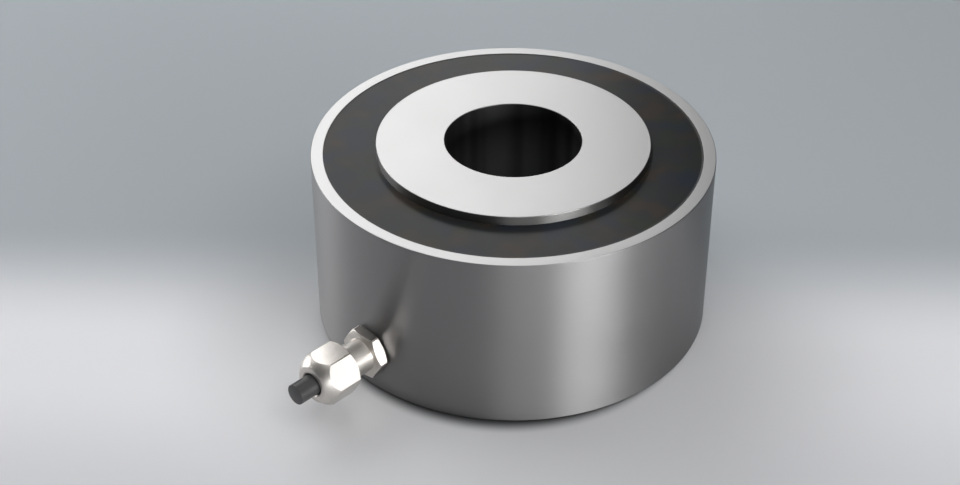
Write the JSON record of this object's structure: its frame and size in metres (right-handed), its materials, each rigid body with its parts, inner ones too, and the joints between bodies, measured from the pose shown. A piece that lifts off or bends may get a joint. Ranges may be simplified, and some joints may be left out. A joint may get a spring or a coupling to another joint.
{
  "type": "compression load cell",
  "caption": "Annular compression load cell: polished steel sleeve, raised loading ring with through bore, sealed top and a side cable gland with a cable stub.",
  "frame": {"origin": "on the bore's axis, in the base face that the cell stands on", "axes": "+Z along the bore towards the loading face; the cable gland points along -Y"},
  "size_m": [0.115, 0.1427, 0.056],
  "materials": {
    "sleeve_steel": "turned and polished stainless steel",
    "spring_steel": "ground loading face, turned sides",
    "cover_steel": "thin spring steel",
    "filling": "glossy dark filling compound",
    "seal_rubber": "nitrile rubber",
    "gauge_foil": "polyimide carrier with metal foil",
    "lead_insulation": "fine insulated lead",
    "board_laminate": "green circuit board",
    "spacer_brass": "turned",
    "screw_steel": "plain steel screws",
    "resistor_body": "glazed chip resistors",
    "core_red": "core insulation",
    "core_black": "core insulation",
    "core_green": "core insulation",
    "core_white": "core insulation",
    "drain_copper": "tinned copper wire",
    "cable_jacket": "matt polyurethane jacket",
    "gland_nickel": "bright nickel plating",
    "cage_polyamide": "natural polyamide"
  },
  "bodies": {
    "root": {"housing_sleeve": "sleeve_steel", "spring_element": "spring_steel", "cover_ring": "cover_steel", "potting_seal": "filling", "flange_o_ring": "seal_rubber", "gland_o_ring": "seal_rubber", "sealing_insert": "seal_rubber", "strain_gauge_1": "gauge_foil", "strain_gauge_2": "gauge_foil", "strain_gauge_3": "gauge_foil", "strain_gauge_4": "gauge_foil", "gauge_lead_1": "lead_insulation", "gauge_lead_2": "lead_insulation", "gauge_lead_3": "lead_insulation", "gauge_lead_4": "lead_insulation", "terminal_board": "board_laminate", "board_spacers": "spacer_brass", "board_screws": "screw_steel", "trim_resistors": "resistor_body", "core_excitation_plus": "core_red", "core_excitation_minus": "core_black", "core_signal_plus": "core_green", "core_signal_minus": "core_white", "shield_drain": "drain_copper", "cable": "cable_jacket", "gland_body": "gland_nickel", "dome_nut": "gland_nickel", "clamping_cage": "cage_polyamide"}
  },
  "joints": []
}
